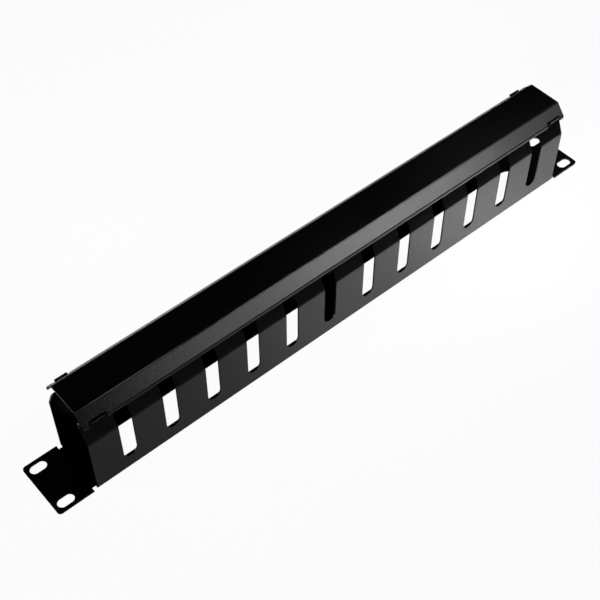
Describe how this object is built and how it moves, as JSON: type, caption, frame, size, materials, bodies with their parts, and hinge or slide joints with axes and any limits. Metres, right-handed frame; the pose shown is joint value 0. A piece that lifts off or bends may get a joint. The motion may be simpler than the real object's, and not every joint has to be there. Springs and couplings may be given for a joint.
{
  "type": "horizontal cable manager",
  "caption": "Rack-mount horizontal cable manager: a folded steel channel with slotted finger walls, rack ears and a lift-off front cover.",
  "frame": {"origin": "centre of the back plate's rear face", "axes": "+Z out of the rack's front, from the back plate to the cover; X along the rack's width; Y across its height"},
  "size_m": [0.4826, 0.0438, 0.074],
  "materials": {
    "base_channel": "fine satin black powder coat on folded steel sheet",
    "snap_cover": "fine satin black powder coat on folded steel sheet"
  },
  "bodies": {
    "channel": {"base_channel": "base_channel"},
    "cover": {"snap_cover": "snap_cover"}
  },
  "joints": [
    {"name": "cover_lift", "type": "slide", "parent": "channel", "child": "cover", "axis": [0, 0, 1], "range_m": [0, 0.05]}
  ]
}
